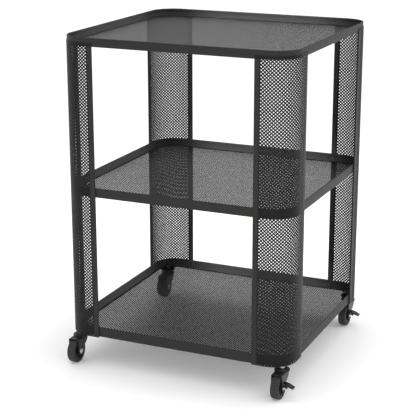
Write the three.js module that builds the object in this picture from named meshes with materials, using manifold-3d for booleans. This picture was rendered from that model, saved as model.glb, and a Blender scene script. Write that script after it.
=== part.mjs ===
// Rolling utility cart: three perforated steel trays held by four perforated corner columns,
// standing on four swivel casters, two of them with a foot brake.
// Millimetres. +X is the side with the brake pedals, -Y is the front, +Z is up.
// The origin is on the floor, under the middle of the box round the whole cart.
import * as THREE from 'three';
import { mergeVertices } from 'three/addons/utils/BufferGeometryUtils.js';
import Module from 'manifold-3d';

const wasm = await Module();
wasm.setup();

// ---------------------------------------------------------------- driving dimensions

const cartWidth = 480; // over the outer faces of the columns, along X
const cartDepth = 460; // the same along Y
const cornerRadius = 50; // outer face of a column's bend

const trayPlan = [
  { name: 'bottom', rise: 0, rimHeight: 21 }, // rise is the height above the bottom tray
  { name: 'middle', rise: 291.5, rimHeight: 19 },
  { name: 'top', rise: 586.5, rimHeight: 17 },
];
const rimSheet = 1; // wall of a tray's rim
const rimEdge = 2.2; // folded top edge of the rim, thickness
const rimEdgeDepth = 4; // and its height
const lipWidth = 3.5; // inward lip at the foot of the rim, which carries the panel
const lipSheet = 0.8;
const panelSheet = 0.4;

const columnSheet = 0.8;
const flangeWidth = 75; // from the cart's corner to the flange's free edge
const hemWidth = 10; // plain folded strip along each free edge
const hemThickness = 2.6;
const columnBelowTray = 1.2; // how far a column reaches below the bottom tray
const topOverlap = 7; // how far a column laps over the top tray's rim

const screwRadius = 2; // M4
const screwHeadRadius = 3.8;
const screwHeadHeight = 2.2;
const hemSkin = 0.9; // steel left outside the screw in a hem
const screwFromEdge = 5; // from the flange's free edge

const stemBearing = 42; // degrees round the corner's bend, from X, to the swivel axis
const bossToRim = 0.4; // from a caster bracket's boss to the rim's wall
const bracketRadius = 16; // plate that carries a caster, round the swivel axis
const bracketSheet = 2;
const bossRadius = 5.4; // threaded boss on the plate
const bossHeight = 6.5; // above the plate
const threadRadius = 4; // M8 stem
const hexRadius = 6.35; // 11 mm across the flats
const hexHeight = 4.8;
const kingpinRadius = 3.5;
const rivetRadius = 5.5;
const rivetHeight = 1.6;

const capLowerRadius = 15;
const capUpperRadius = 11.2;
const capLowerHeight = 1.4;
const capUpperHeight = 1.8;
const crownSheet = 1.4; // top plate of the fork, and its crown
const crownRadius = 15;

const wheelRadius = 24.5;
const wheelWidth = 16.6;
const casterTrail = 19.8; // wheel axle behind the swivel axis
const hubRadius = 17.5;
const hubWidth = 14.8;
const hubRimWidth = 2.5; // raised rim of the hub round its dished faces
const hubDish = 3.2;
const hubBossRadius = 5;
const tyreRound = 2.6; // rounding at the tyre's shoulders
const legSheet = 2;
const legEndWall = 2.8; // leg's metal round the axle's head
const legFrontSet = 1; // straight front edge of a leg, ahead of its rounded end
const legFrontBend = 2; // height above the axle that the front edge curves in from
const legBackInset = 2; // back edge of a leg, in from the crown
const legBackFlat = 6; // straight part of the back edge, below the hood's top
const legBackBend = 16; // and the end of its bend
const axleRadius = 2.5;
const axleHeadRadius = 5.4;
const axleHeadHeight = 2.4;

const pedalSheet = 1.8;
const pedalReach = 32; // from the wheel's middle plane to the pedal's tip
const pedalPivotRise = 5.4; // pivot above the axle
const pedalPinRadius = 1.2;
const pedalRise = 2.4; // top of the pedal above its pivot
const pedalHeel = 1.4; // inner end, in from the pivot
const pedalFlat = 4; // end of the flat part, out from the pivot
const pedalKnee = 8; // where the slope steepens, out from the pivot
const pedalKneeDrop = 2; // and below the flat part
const pedalCrest = 0.4; // rise at the end of the flat part
const pedalTipLow = 1.2; // underside of the tip above the axle
const pedalTipHigh = 2.4;
const pedalTipSlant = 0.6; // how far the tip's top leans out past its underside
const cheekSheet = 1.2;
const cheekRound = 2.1; // metal round the pin
const cheekCorners = [[3.6, -4.6], [5.2, -4.2], [7, -0.4], [4.2, 1.6]]; // out from and above the pivot
const lugSheet = 1.3;
const lugRadius = 2.6;

const fitGap = 0.3; // between pieces that are cut to fit each other
const seatGap = 0.2; // between flat faces that bear on each other
const wheelGap = 1.2; // tyre to fork
const cornerSteps = 4; // a quarter bend in a shape gets twice as many facets
const roundSteps = 20; // facets round a cap or hub
const smallSteps = 12; // facets round a pin or boss
const holeSteps = 8; // facets round a screw and its holes
const tyreSteps = 28;
const shoulderSteps = 2; // facets in a tyre shoulder

// ---------------------------------------------------------------- sizes that follow

const halfWidth = cartWidth / 2;
const halfDepth = cartDepth / 2;
const rimInset = hemThickness + fitGap; // lower trays slip between the hems
const topRimInset = columnSheet + fitGap; // the top tray nearly fills the columns

const hoodBottom = 2 * wheelRadius + wheelGap;
const hoodTop = hoodBottom + crownSheet;
const capBottom = hoodTop + fitGap;
const capTop = capBottom + capLowerHeight + capUpperHeight;
const hexBottom = capTop + seatGap;
const hexTop = hexBottom + hexHeight;
const bracketBottom = hexTop + seatGap;
const bracketTop = bracketBottom + bracketSheet;
const legInner = wheelWidth / 2 + wheelGap;
const legOuter = legInner + legSheet;
const legEndRadius = axleHeadRadius + legEndWall;
const legFront = -casterTrail - legEndRadius - legFrontSet; // along Y from the swivel axis

const bottomLevel = bracketTop + seatGap; // the casters set the height of the bottom tray
const trays = trayPlan.map((tray) => ({ ...tray, level: bottomLevel + tray.rise }));
const bottomTray = trays[0];
const topTray = trays[trays.length - 1];
const columnBottom = bottomTray.level - columnBelowTray;
const columnTop = topTray.level + topOverlap;
const hemTop = topTray.level - fitGap;
const insetOf = (tray) => (tray === topTray ? topRimInset : rimInset);

const bossPath = cornerRadius - rimInset - rimSheet - bossRadius - bossToRim; // from the bend's centre
const stemAngle = THREE.MathUtils.degToRad(stemBearing);
const stemX = halfWidth - cornerRadius + bossPath * Math.cos(stemAngle);
const stemY = halfDepth - cornerRadius + bossPath * Math.sin(stemAngle);

// ---------------------------------------------------------------- solids

/** A closed geometry as a Manifold solid. */
function solid(geometry) {
  const bare = geometry.clone();
  bare.deleteAttribute('normal');
  bare.deleteAttribute('uv');
  const merged = mergeVertices(bare, 1e-5);
  return new wasm.Manifold(new wasm.Mesh({
    numProp: 3,
    vertProperties: Float32Array.from(merged.attributes.position.array),
    triVerts: Uint32Array.from(merged.index.array),
  }));
}

/** A Manifold solid as a geometry. */
function geometryOf(body) {
  const mesh = body.getMesh();
  const geometry = new THREE.BufferGeometry();
  geometry.setAttribute('position', new THREE.BufferAttribute(Float32Array.from(mesh.vertProperties), 3));
  geometry.setIndex(Array.from(mesh.triVerts));
  geometry.computeVertexNormals();
  return geometry;
}

/** Extrudes a flat shape along Z, from bottom to top. */
function prism(shape, bottom, top, curveSegments = cornerSteps) {
  const geometry = new THREE.ExtrudeGeometry(shape, {
    depth: top - bottom,
    bevelEnabled: false,
    curveSegments,
  });
  return solid(geometry.translate(0, 0, bottom));
}

/** A cylinder along the unit vector axis, from one distance along it to another, through centre. */
function rod(axis, centre, from, to, radius, sides = roundSteps) {
  const geometry = new THREE.CylinderGeometry(radius, radius, to - from, sides);
  geometry.translate(0, (from + to) / 2, 0);
  geometry.applyQuaternion(new THREE.Quaternion().setFromUnitVectors(new THREE.Vector3(0, 1, 0), axis));
  return solid(geometry.translate(centre.x, centre.y, centre.z));
}

/** Turns a profile of [radius, height] points round Z. */
function turned(profile, sides = roundSteps) {
  const points = profile.map(([radius, height]) => new THREE.Vector2(radius, height));
  points.push(points[0].clone());
  return new THREE.LatheGeometry(points, sides).rotateX(Math.PI / 2);
}

/** A rectangle about the origin with rounded corners. */
function roundedRectangle(halfX, halfY, radius) {
  const shape = new THREE.Shape();
  shape.moveTo(halfX, -halfY + radius);
  shape.lineTo(halfX, halfY - radius);
  shape.absarc(halfX - radius, halfY - radius, radius, 0, Math.PI / 2);
  shape.lineTo(-halfX + radius, halfY);
  shape.absarc(-halfX + radius, halfY - radius, radius, Math.PI / 2, Math.PI);
  shape.lineTo(-halfX, -halfY + radius);
  shape.absarc(-halfX + radius, -halfY + radius, radius, Math.PI, 1.5 * Math.PI);
  shape.lineTo(halfX - radius, -halfY);
  shape.absarc(halfX - radius, -halfY + radius, radius, 1.5 * Math.PI, 2 * Math.PI);
  return shape;
}

/** The cart's outline, drawn in by inset. */
const outline = (inset) => roundedRectangle(halfWidth - inset, halfDepth - inset, cornerRadius - inset);

/** A shape drawn for the corner at +X +Y, mirrored to the corner with signs sx, sy. */
function mirrored(shape, sx, sy) {
  const points = shape.extractPoints(cornerSteps).shape;
  return new THREE.Shape(points.map((p) => new THREE.Vector2(p.x * sx, p.y * sy)));
}

const alongX = new THREE.Vector3(1, 0, 0);
const alongY = new THREE.Vector3(0, 1, 0);
const alongZ = new THREE.Vector3(0, 0, 1);

// ---------------------------------------------------------------- materials

const paint = new THREE.MeshStandardMaterial({ color: 0x3b3b3d, roughness: 0.6, metalness: 0.1 });
const meshPaint = new THREE.MeshStandardMaterial({ color: 0x444446, roughness: 0.6, metalness: 0.1 });
const zinc = new THREE.MeshStandardMaterial({ color: 0xc9ccd0, roughness: 0.3, metalness: 0.9 });
const blackSteel = new THREE.MeshStandardMaterial({ color: 0x2a2a2b, roughness: 0.45, metalness: 0.3 });
const blackPlastic = new THREE.MeshStandardMaterial({ color: 0x1d1d1e, roughness: 0.5, metalness: 0 });
const rubber = new THREE.MeshStandardMaterial({ color: 0x38383a, roughness: 0.75, metalness: 0 });

const cart = new THREE.Group();

/** Adds a named piece to a group. */
function add(group, name, geometry, material) {
  const mesh = new THREE.Mesh(geometry, material);
  mesh.name = name;
  group.add(mesh);
}

// The four corners, named as someone standing at the front sees them.
const corners = [
  { name: 'front_left', sx: -1, sy: -1 },
  { name: 'front_right', sx: 1, sy: -1 },
  { name: 'back_right', sx: 1, sy: 1 },
  { name: 'back_left', sx: -1, sy: 1 },
];

// ---------------------------------------------------------------- screws that hold the lower trays

/** The two screws at a corner of a tray: a point on the column's outer face and the way inward. */
function screwsAt(corner, tray) {
  const height = tray.level + tray.rimHeight / 2;
  const reach = flangeWidth - screwFromEdge;
  return [
    {
      name: `screw_${tray.name}_${corner.name}_x`,
      point: new THREE.Vector3(corner.sx * halfWidth, corner.sy * (halfDepth - reach), height),
      inward: alongX.clone().multiplyScalar(-corner.sx),
    },
    {
      name: `screw_${tray.name}_${corner.name}_y`,
      point: new THREE.Vector3(corner.sx * (halfWidth - reach), corner.sy * halfDepth, height),
      inward: alongY.clone().multiplyScalar(-corner.sy),
    },
  ];
}

const screwedTrays = trays.filter((tray) => tray !== topTray);
const headSeat = rimInset + rimSheet + seatGap;
const holeRadius = screwRadius + fitGap;

/** A button-head screw, put in from inside the tray. */
function screw({ point, inward }) {
  const shank = rod(inward, point, hemSkin + fitGap, headSeat + screwHeadHeight / 2, screwRadius, holeSteps);
  const head = rod(inward, point, headSeat, headSeat + screwHeadHeight, screwHeadRadius, smallSteps);
  return shank.add(head);
}

// ---------------------------------------------------------------- trays

/** The rim: a bent strip with a folded top edge and a lip for the panel. */
function trayRim(tray) {
  const inset = insetOf(tray);
  const top = tray.level + tray.rimHeight;
  let rim = prism(outline(inset), tray.level, top);
  rim = rim.subtract(prism(outline(inset + lipWidth), tray.level - 1, top + 1));
  rim = rim.subtract(prism(outline(inset + rimSheet), tray.level + lipSheet, top - rimEdgeDepth));
  rim = rim.subtract(prism(outline(inset + rimEdge), top - rimEdgeDepth, top + 1));
  for (const corner of corners) {
    if (screwedTrays.includes(tray)) {
      for (const { point, inward } of screwsAt(corner, tray)) {
        rim = rim.subtract(rod(inward, point, rimInset - 1, headSeat + 1, holeRadius, holeSteps));
      }
    }
    if (tray === bottomTray) rim = rim.subtract(bossHole(corner));
  }
  return rim;
}

/** The panel: perforated sheet, solid here, that lies on the rim's lip. */
function trayPanel(tray) {
  const bottom = tray.level + lipSheet + seatGap;
  let panel = prism(outline(insetOf(tray) + rimSheet + fitGap), bottom, bottom + panelSheet);
  if (tray === bottomTray) {
    for (const corner of corners) panel = panel.subtract(bossHole(corner));
  }
  return panel;
}

/** Clearance through the bottom tray for a caster bracket's boss. */
function bossHole({ sx, sy }) {
  const centre = new THREE.Vector3(sx * stemX, sy * stemY, bottomTray.level);
  const depth = lipSheet + seatGap + panelSheet;
  return rod(alongZ, centre, -1, depth + 1, bossRadius + fitGap, smallSteps);
}

for (const tray of trays) {
  add(cart, `tray_rim_${tray.name}`, geometryOf(trayRim(tray)), paint);
  add(cart, `tray_panel_${tray.name}`, geometryOf(trayPanel(tray)), meshPaint);
}

// ---------------------------------------------------------------- columns

/** Plan of a column's sheet at the +X +Y corner. */
function columnPlan() {
  const bendX = halfWidth - cornerRadius;
  const bendY = halfDepth - cornerRadius;
  const plan = new THREE.Shape();
  plan.moveTo(halfWidth, halfDepth - flangeWidth);
  plan.lineTo(halfWidth, bendY);
  plan.absarc(bendX, bendY, cornerRadius, 0, Math.PI / 2);
  plan.lineTo(halfWidth - flangeWidth, halfDepth);
  plan.lineTo(halfWidth - flangeWidth, halfDepth - columnSheet);
  plan.lineTo(bendX, halfDepth - columnSheet);
  plan.absarc(bendX, bendY, cornerRadius - columnSheet, Math.PI / 2, 0, true);
  plan.lineTo(halfWidth - columnSheet, halfDepth - flangeWidth);
  return plan;
}

/** A rectangle between two corners. */
function rectangle(x0, y0, x1, y1) {
  const points = [[x0, y0], [x1, y0], [x1, y1], [x0, y1]];
  return new THREE.Shape(points.map(([x, y]) => new THREE.Vector2(x, y)));
}

/** A corner column: a bent sheet with a folded hem along each free edge. */
function column(corner) {
  const edgeX = halfWidth - flangeWidth;
  const edgeY = halfDepth - flangeWidth;
  const hems = [
    rectangle(halfWidth - hemThickness, edgeY, halfWidth, edgeY + hemWidth),
    rectangle(edgeX, halfDepth - hemThickness, edgeX + hemWidth, halfDepth),
  ];
  let body = prism(mirrored(columnPlan(), corner.sx, corner.sy), columnBottom, columnTop);
  for (const hem of hems) body = body.add(prism(mirrored(hem, corner.sx, corner.sy), columnBottom, hemTop));
  for (const tray of screwedTrays) {
    for (const { point, inward } of screwsAt(corner, tray)) {
      body = body.subtract(rod(inward, point, hemSkin, hemThickness + 1, holeRadius, holeSteps));
    }
  }
  return body;
}

for (const corner of corners) {
  add(cart, `column_${corner.name}`, geometryOf(column(corner)), meshPaint);
  for (const tray of screwedTrays) {
    for (const place of screwsAt(corner, tray)) add(cart, place.name, geometryOf(screw(place)), blackSteel);
  }
}

// ---------------------------------------------------------------- caster brackets

/** The plate under a corner of the bottom tray, with a threaded boss that stands up through the tray. */
function casterBracket({ sx, sy }) {
  const centre = new THREE.Vector3(sx * stemX, sy * stemY, bracketTop);
  const disc = rod(alongZ, centre, -bracketSheet, 0, bracketRadius);
  const plate = disc.intersect(prism(outline(rimInset + fitGap), bracketBottom - 1, bracketTop + 1));
  const boss = rod(alongZ, centre, -bracketSheet, bossHeight, bossRadius, smallSteps);
  const bore = rod(alongZ, centre, -bracketSheet - 1, bossHeight + 1, threadRadius + fitGap, smallSteps);
  return plate.add(boss).subtract(bore);
}

for (const corner of corners) {
  add(cart, `caster_bracket_${corner.name}`, geometryOf(casterBracket(corner)), paint);
}

// ---------------------------------------------------------------- casters
// Each caster is drawn about its swivel axis, with the wheel trailing towards -Y.

const axleCentre = new THREE.Vector3(0, -casterTrail, wheelRadius);
const origin = new THREE.Vector3();

/** Threaded stem with its hex collar above the swivel and a riveted end below it. */
function stem() {
  const top = bracketTop + bossHeight - fitGap;
  const rivetTop = hoodBottom - seatGap;
  return rod(alongZ, origin, hexBottom, top, threadRadius, smallSteps)
    .add(rod(alongZ, origin, hexBottom, hexTop, hexRadius, 6))
    .add(rod(alongZ, origin, rivetTop - rivetHeight, hexBottom + 1, kingpinRadius, smallSteps))
    .add(rod(alongZ, origin, rivetTop - rivetHeight, rivetTop, rivetRadius, smallSteps));
}

/** The two-step cap over the swivel's ball race. */
function swivelCap() {
  const bore = kingpinRadius + fitGap;
  const step = capBottom + capLowerHeight;
  return turned([
    [bore, capBottom], [capLowerRadius, capBottom], [capLowerRadius, step],
    [capUpperRadius, step], [capUpperRadius, capTop], [bore, capTop],
  ]);
}

/** Side view of a fork leg: x is the cart's Y, y is height. */
function legSide() {
  const backAtTop = Math.sqrt(crownRadius ** 2 - legOuter ** 2);
  const side = new THREE.Shape();
  side.moveTo(legFront, hoodTop);
  side.lineTo(legFront, wheelRadius + legEndRadius);
  side.quadraticCurveTo(legFront, wheelRadius + legFrontBend, -casterTrail - legEndRadius, wheelRadius);
  side.absarc(-casterTrail, wheelRadius, legEndRadius, Math.PI, 2 * Math.PI);
  side.bezierCurveTo(
    -casterTrail + legEndRadius, wheelRadius + legEndRadius,
    backAtTop - legBackInset, hoodTop - legBackBend,
    backAtTop - legBackInset, hoodTop - legBackFlat,
  );
  side.lineTo(backAtTop, hoodTop);
  return side;
}

/** An XY shape stood up in the YZ plane and extruded along X, from one X to another. */
function sidePrism(shape, from, to) {
  const geometry = new THREE.ExtrudeGeometry(shape, {
    depth: to - from,
    bevelEnabled: false,
    curveSegments: cornerSteps,
  });
  geometry.rotateX(Math.PI / 2).rotateZ(Math.PI / 2);
  return solid(geometry.translate(from, 0, 0));
}

const pivotOut = seatGap + axleHeadHeight + fitGap + pedalPinRadius; // the pin clears the axle's head
const pivot = new THREE.Vector3(legOuter + pivotOut, -casterTrail, wheelRadius + pedalPivotRise);
const cheekInner = axleHeadRadius + fitGap; // the cheeks stand either side of the axle's head
const cheekOuter = cheekInner + cheekSheet;
const lugInner = cheekOuter + fitGap; // and the lugs outside them
const lugOuter = lugInner + lugSheet;

/** An XZ shape extruded along Y, from one Y to another. */
function crossPrism(shape, from, to) {
  const geometry = new THREE.ExtrudeGeometry(shape, {
    depth: to - from,
    bevelEnabled: false,
    curveSegments: cornerSteps,
  });
  geometry.rotateX(Math.PI / 2);
  return solid(geometry.translate(0, to, 0));
}

/** Front view of a lug that holds the pedal's pin: x is the cart's X, y is height. */
function lugFront() {
  const front = new THREE.Shape();
  front.moveTo(legOuter - legSheet / 2, pivot.z - lugRadius);
  front.lineTo(pivot.x, pivot.z - lugRadius);
  front.absarc(pivot.x, pivot.z, lugRadius, -Math.PI / 2, Math.PI / 2);
  front.lineTo(legOuter - legSheet / 2, pivot.z + lugRadius);
  return front;
}

/** The fork: a crown and hood over the wheel, and a leg either side of it. */
function fork(braked) {
  let body = rod(alongZ, origin, hoodBottom, hoodTop, crownRadius);
  body = body.add(prism(rectangle(-legOuter, legFront, legOuter, 0), hoodBottom, hoodTop));
  for (const [from, to] of [[-legOuter, -legInner], [legInner, legOuter]]) {
    body = body.add(sidePrism(legSide(), from, to));
  }
  if (braked) {
    for (const side of [-1, 1]) {
      const ends = [side * lugInner, side * lugOuter].sort((a, b) => a - b);
      body = body.add(crossPrism(lugFront(), pivot.y + ends[0], pivot.y + ends[1]));
    }
    body = body.subtract(rod(alongY, pivot, -lugOuter - 1, lugOuter + 1, pedalPinRadius + fitGap, smallSteps));
  }
  body = body.subtract(rod(alongZ, origin, hoodBottom - 1, hoodTop + 1, kingpinRadius + fitGap, smallSteps));
  return body.subtract(rod(alongX, axleCentre, -legOuter - 1, legOuter + 1, axleRadius + fitGap, smallSteps));
}

/** The axle: a shaft with a bright domed head at each end, outside the legs. */
function axle() {
  const seat = legOuter + seatGap;
  return rod(alongX, axleCentre, -seat - 1, seat + 1, axleRadius, smallSteps)
    .add(rod(alongX, axleCentre, -seat - axleHeadHeight, -seat, axleHeadRadius, smallSteps))
    .add(rod(alongX, axleCentre, seat, seat + axleHeadHeight, axleHeadRadius, smallSteps));
}

/** Stands a turned piece on its side, on the wheel's axle. */
function onAxle(geometry) {
  return geometry.rotateY(Math.PI / 2).translate(axleCentre.x, axleCentre.y, axleCentre.z);
}

/** The wheel's moulded centre, dished either side, with a boss on the axle. */
function hub() {
  const bore = axleRadius + fitGap;
  const boss = legInner - fitGap;
  const face = hubWidth / 2;
  const dish = face - hubDish;
  const dishRadius = hubRadius - hubRimWidth;
  const half = [[bore, boss], [hubBossRadius, boss], [hubBossRadius, dish], [dishRadius, dish],
    [dishRadius, face], [hubRadius, face]];
  const other = half.map(([radius, height]) => [radius, -height]);
  return onAxle(turned([...other, ...half.reverse()]));
}

/** The tyre, with rounded shoulders. */
function tyre() {
  const inner = hubRadius + fitGap;
  const face = wheelWidth / 2;
  const profile = [[inner, face - 1], [inner, -face + 1], [inner + 1, -face]];
  for (const side of [-1, 1]) {
    for (let step = 0; step <= shoulderSteps; step += 1) {
      const angle = (side < 0 ? -Math.PI / 2 : 0) + ((Math.PI / 2) * step) / shoulderSteps;
      profile.push([
        wheelRadius - tyreRound + tyreRound * Math.cos(angle),
        side * (face - tyreRound) + tyreRound * Math.sin(angle),
      ]);
    }
  }
  profile.push([inner + 1, face]);
  return onAxle(turned(profile, tyreSteps));
}

/** Front view of the brake pedal's tread: out from the pivot, over the axle's end, and down. */
function pedalFront() {
  const top = pivot.z + pedalRise;
  const under = top - pedalSheet;
  const front = new THREE.Shape();
  front.moveTo(pivot.x - pedalHeel, under);
  front.lineTo(pivot.x + pedalFlat, under);
  front.lineTo(pivot.x + pedalKnee, under - pedalKneeDrop);
  front.lineTo(pedalReach, wheelRadius + pedalTipLow);
  front.lineTo(pedalReach + pedalTipSlant, wheelRadius + pedalTipHigh);
  front.lineTo(pivot.x + pedalKnee + pedalTipSlant, top - pedalKneeDrop + pedalCrest);
  front.lineTo(pivot.x + pedalFlat + pedalCrest, top + pedalCrest);
  front.lineTo(pivot.x - pedalHeel, top);
  return front;
}

/** Front view of a pedal cheek: a web round the pin that stiffens the pedal. */
function cheekFront() {
  const front = new THREE.Shape();
  front.absarc(pivot.x, pivot.z, cheekRound, Math.PI * 0.6, Math.PI * 1.5);
  for (const [out, up] of cheekCorners) front.lineTo(pivot.x + out, pivot.z + up);
  return front;
}

/** The brake pedal: a bent tread between two cheeks that turn on the pin. */
function brakePedal() {
  let body = crossPrism(pedalFront(), pivot.y - cheekOuter, pivot.y + cheekOuter);
  for (const side of [-1, 1]) {
    const ends = [side * cheekInner, side * cheekOuter].sort((a, b) => a - b);
    body = body.add(crossPrism(cheekFront(), pivot.y + ends[0], pivot.y + ends[1]));
  }
  return body.subtract(rod(alongY, pivot, -cheekOuter - 1, cheekOuter + 1, pedalPinRadius + fitGap, smallSteps));
}

/** The pin that the brake pedal turns on. */
const brakePin = () => rod(alongY, pivot, -lugOuter, lugOuter, pedalPinRadius, smallSteps);

for (const { name, sx, sy } of corners) {
  const caster = new THREE.Group();
  caster.position.set(sx * stemX, sy * stemY, 0);
  const braked = sx > 0;
  add(caster, `stem_${name}`, geometryOf(stem()), zinc);
  add(caster, `swivel_cap_${name}`, swivelCap(), blackSteel);
  add(caster, `fork_${name}`, geometryOf(fork(braked)), blackSteel);
  add(caster, `axle_${name}`, geometryOf(axle()), zinc);
  add(caster, `wheel_hub_${name}`, hub(), blackPlastic);
  add(caster, `tyre_${name}`, tyre(), rubber);
  if (braked) {
    add(caster, `brake_pedal_${name}`, geometryOf(brakePedal()), blackPlastic);
    add(caster, `brake_pin_${name}`, geometryOf(brakePin()), zinc);
  }
  cart.add(caster);
}

// ---------------------------------------------------------------- origin

const box = new THREE.Box3().setFromObject(cart);
const middle = box.getCenter(new THREE.Vector3());
cart.position.set(-middle.x, -middle.y, -box.min.z);

export default cart;
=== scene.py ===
import math

import bmesh
import bpy
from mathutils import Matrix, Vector


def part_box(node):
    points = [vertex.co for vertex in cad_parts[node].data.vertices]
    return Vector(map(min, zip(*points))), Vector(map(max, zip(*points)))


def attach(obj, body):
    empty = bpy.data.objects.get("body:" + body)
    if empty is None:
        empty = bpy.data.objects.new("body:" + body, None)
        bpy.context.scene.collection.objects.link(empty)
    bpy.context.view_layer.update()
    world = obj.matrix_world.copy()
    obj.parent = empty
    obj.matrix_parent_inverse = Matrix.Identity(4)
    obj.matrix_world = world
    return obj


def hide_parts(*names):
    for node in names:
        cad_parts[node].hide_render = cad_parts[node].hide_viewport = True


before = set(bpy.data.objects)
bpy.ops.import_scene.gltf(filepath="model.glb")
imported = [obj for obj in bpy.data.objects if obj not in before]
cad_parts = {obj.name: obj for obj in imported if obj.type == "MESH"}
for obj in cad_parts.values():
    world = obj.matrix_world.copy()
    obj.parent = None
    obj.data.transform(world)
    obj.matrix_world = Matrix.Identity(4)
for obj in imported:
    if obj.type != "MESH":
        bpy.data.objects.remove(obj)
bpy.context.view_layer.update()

# ------------------------------------------------------------------------------ tray rims
# Each tray's rim is one strip of 1 mm mild steel, bent to a rounded rectangle and welded, with its
# top edge folded in and a lip at its foot that carries the panel. It is powder coated with the panel.

MM = 0.001
LEFT_FRONT_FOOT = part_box("column_front_left")[0]
RIGHT_BACK_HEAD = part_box("column_back_right")[1]
MIDDLE_X = (LEFT_FRONT_FOOT.x + RIGHT_BACK_HEAD.x) / 2
MIDDLE_Y = (LEFT_FRONT_FOOT.y + RIGHT_BACK_HEAD.y) / 2
HALF_WIDTH = (RIGHT_BACK_HEAD.x - LEFT_FRONT_FOOT.x) / 2
HALF_DEPTH = (RIGHT_BACK_HEAD.y - LEFT_FRONT_FOOT.y) / 2
BEND_RADIUS = 50 * MM

RIM_SHEET = 1 * MM
RIM_FOLD = 2.2 * MM
RIM_FOLD_DEPTH = 4 * MM
RIM_LIP = 3.5 * MM
RIM_LIP_SHEET = 0.8 * MM
RIM_BEND_STEPS = 14
RIM_COLOUR = "#272726"


def outline_point(inset, quarter, turn):
    """A point of the cart's plan drawn in by inset: turn runs from 0 to 1 round a quarter's bend."""
    side_x, side_y = [(1, 1), (-1, 1), (-1, -1), (1, -1)][quarter]
    angle = (quarter + turn) * math.pi / 2
    radius = BEND_RADIUS - inset
    return (
        MIDDLE_X + side_x * (HALF_WIDTH - BEND_RADIUS) + radius * math.cos(angle),
        MIDDLE_Y + side_y * (HALF_DEPTH - BEND_RADIUS) + radius * math.sin(angle),
    )


def rounded(corners, steps=4):
    """A closed profile from corners (a, b, radius), with each corner rounded off."""
    points = []
    for i, (a, b, radius) in enumerate(corners):
        corner = Vector((a, b))
        before = Vector(corners[i - 1][:2]) - corner
        after = Vector(corners[(i + 1) % len(corners)][:2]) - corner
        if radius == 0:
            points.append(tuple(corner))
            continue
        back = radius / math.tan(before.angle(after) / 2)
        start = corner + before.normalized() * back
        end = corner + after.normalized() * back
        for step in range(steps + 1):
            t = step / steps
            points.append(tuple(start * (1 - t) ** 2 + corner * 2 * t * (1 - t) + end * t**2))
    return points


def skin(form, rings):
    """Joins rings of points into a closed skin; the last ring meets the first."""
    grid = [[form.verts.new(point) for point in ring] for ring in rings]
    for ring, following in zip(grid, grid[1:] + grid[:1]):
        for i in range(len(ring)):
            form.faces.new((ring[i - 1], ring[i], following[i], following[i - 1]))


def linear(colour):
    """An sRGB hex colour as linear RGBA."""
    channels = [int(colour[i : i + 2], 16) / 255 for i in (1, 3, 5)]
    return (*[c / 12.92 if c <= 0.04045 else ((c + 0.055) / 1.055) ** 2.4 for c in channels], 1)


def shade(colour, factor):
    """An sRGB hex colour made darker or lighter, as linear RGBA."""
    return [c * factor for c in linear(colour)[:3]] + [1]


def add_node(tree, kind, settings=None, inputs=None):
    """Adds a node with its settings and its inputs, each a value or another node's output."""
    node = tree.nodes.new(kind)
    for name, value in (settings or {}).items():
        setattr(node, name, value)
    for name, value in (inputs or {}).items():
        if isinstance(value, bpy.types.NodeSocket):
            tree.links.new(value, node.inputs[name])
        else:
            node.inputs[name].default_value = value
    return node


def vary_gloss(tree, shader, noise, low, high):
    """Lets a noise move a shader's roughness between two values."""
    gloss = add_node(tree, "ShaderNodeMapRange", inputs={
        "Value": noise.outputs["Fac"], "From Min": 0.3, "From Max": 0.7, "To Min": low, "To Max": high})
    tree.links.new(gloss.outputs["Result"], shader.inputs["Roughness"])


def emboss(tree, shader, noise, strength, depth):
    """Gives a shader a fine relief from a noise."""
    relief = add_node(tree, "ShaderNodeBump", inputs={
        "Strength": strength, "Distance": depth, "Height": noise.outputs["Fac"]})
    tree.links.new(relief.outputs["Normal"], shader.inputs["Normal"])


def powder_coat(name, colour, gloss_low, gloss_high):
    """Matte charcoal polyester powder coat, sprayed and baked on steel."""
    # The baked powder leaves a fine orange peel, which breaks up reflections, and its film thickness
    # drifts, which shifts the tone slightly over a hand's width.
    material = bpy.data.materials.new(name)
    material.use_nodes = True
    tree = material.node_tree
    shader = tree.nodes["Principled BSDF"]
    shader.inputs["Metallic"].default_value = 0
    shader.inputs["IOR"].default_value = 1.5
    shader.inputs["Specular IOR Level"].default_value = 0.2
    place = add_node(tree, "ShaderNodeTexCoord").outputs["Object"]
    drift = add_node(tree, "ShaderNodeTexNoise", inputs={
        "Vector": place, "Scale": 1 / (90 * MM), "Detail": 3, "Roughness": 0.5})
    tone = add_node(tree, "ShaderNodeMix", {"data_type": "RGBA"}, {
        0: drift.outputs["Fac"], 6: shade(colour, 0.94), 7: shade(colour, 1.06)})
    tree.links.new(tone.outputs[2], shader.inputs["Base Color"])
    grain = add_node(tree, "ShaderNodeTexNoise", inputs={
        "Vector": place, "Scale": 1 / (1.4 * MM), "Detail": 2, "Roughness": 0.6})
    vary_gloss(tree, shader, grain, gloss_low, gloss_high)
    emboss(tree, shader, grain, 0.25, 0.05 * MM)
    return material


def shown(name, form, material, crease=35):
    """Makes a finished object of a form, smooth except at edges sharper than crease degrees."""
    bmesh.ops.remove_doubles(form, verts=form.verts, dist=0.001 * MM)
    bmesh.ops.dissolve_degenerate(form, edges=form.edges, dist=0.0001 * MM)
    bmesh.ops.recalc_face_normals(form, faces=form.faces)
    mesh = bpy.data.meshes.new(name)
    form.to_mesh(mesh)
    form.free()
    mesh.shade_smooth()
    mesh.set_sharp_from_angle(angle=math.radians(crease))
    mesh.materials.append(material)
    piece = bpy.data.objects.new(name, mesh)
    bpy.context.scene.collection.objects.link(piece)
    return piece


def fasten(piece, body, finish, *nodes):
    """Hands a piece to its body, in the place of its CAD nodes."""
    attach(piece, body)
    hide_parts(*nodes)


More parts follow.
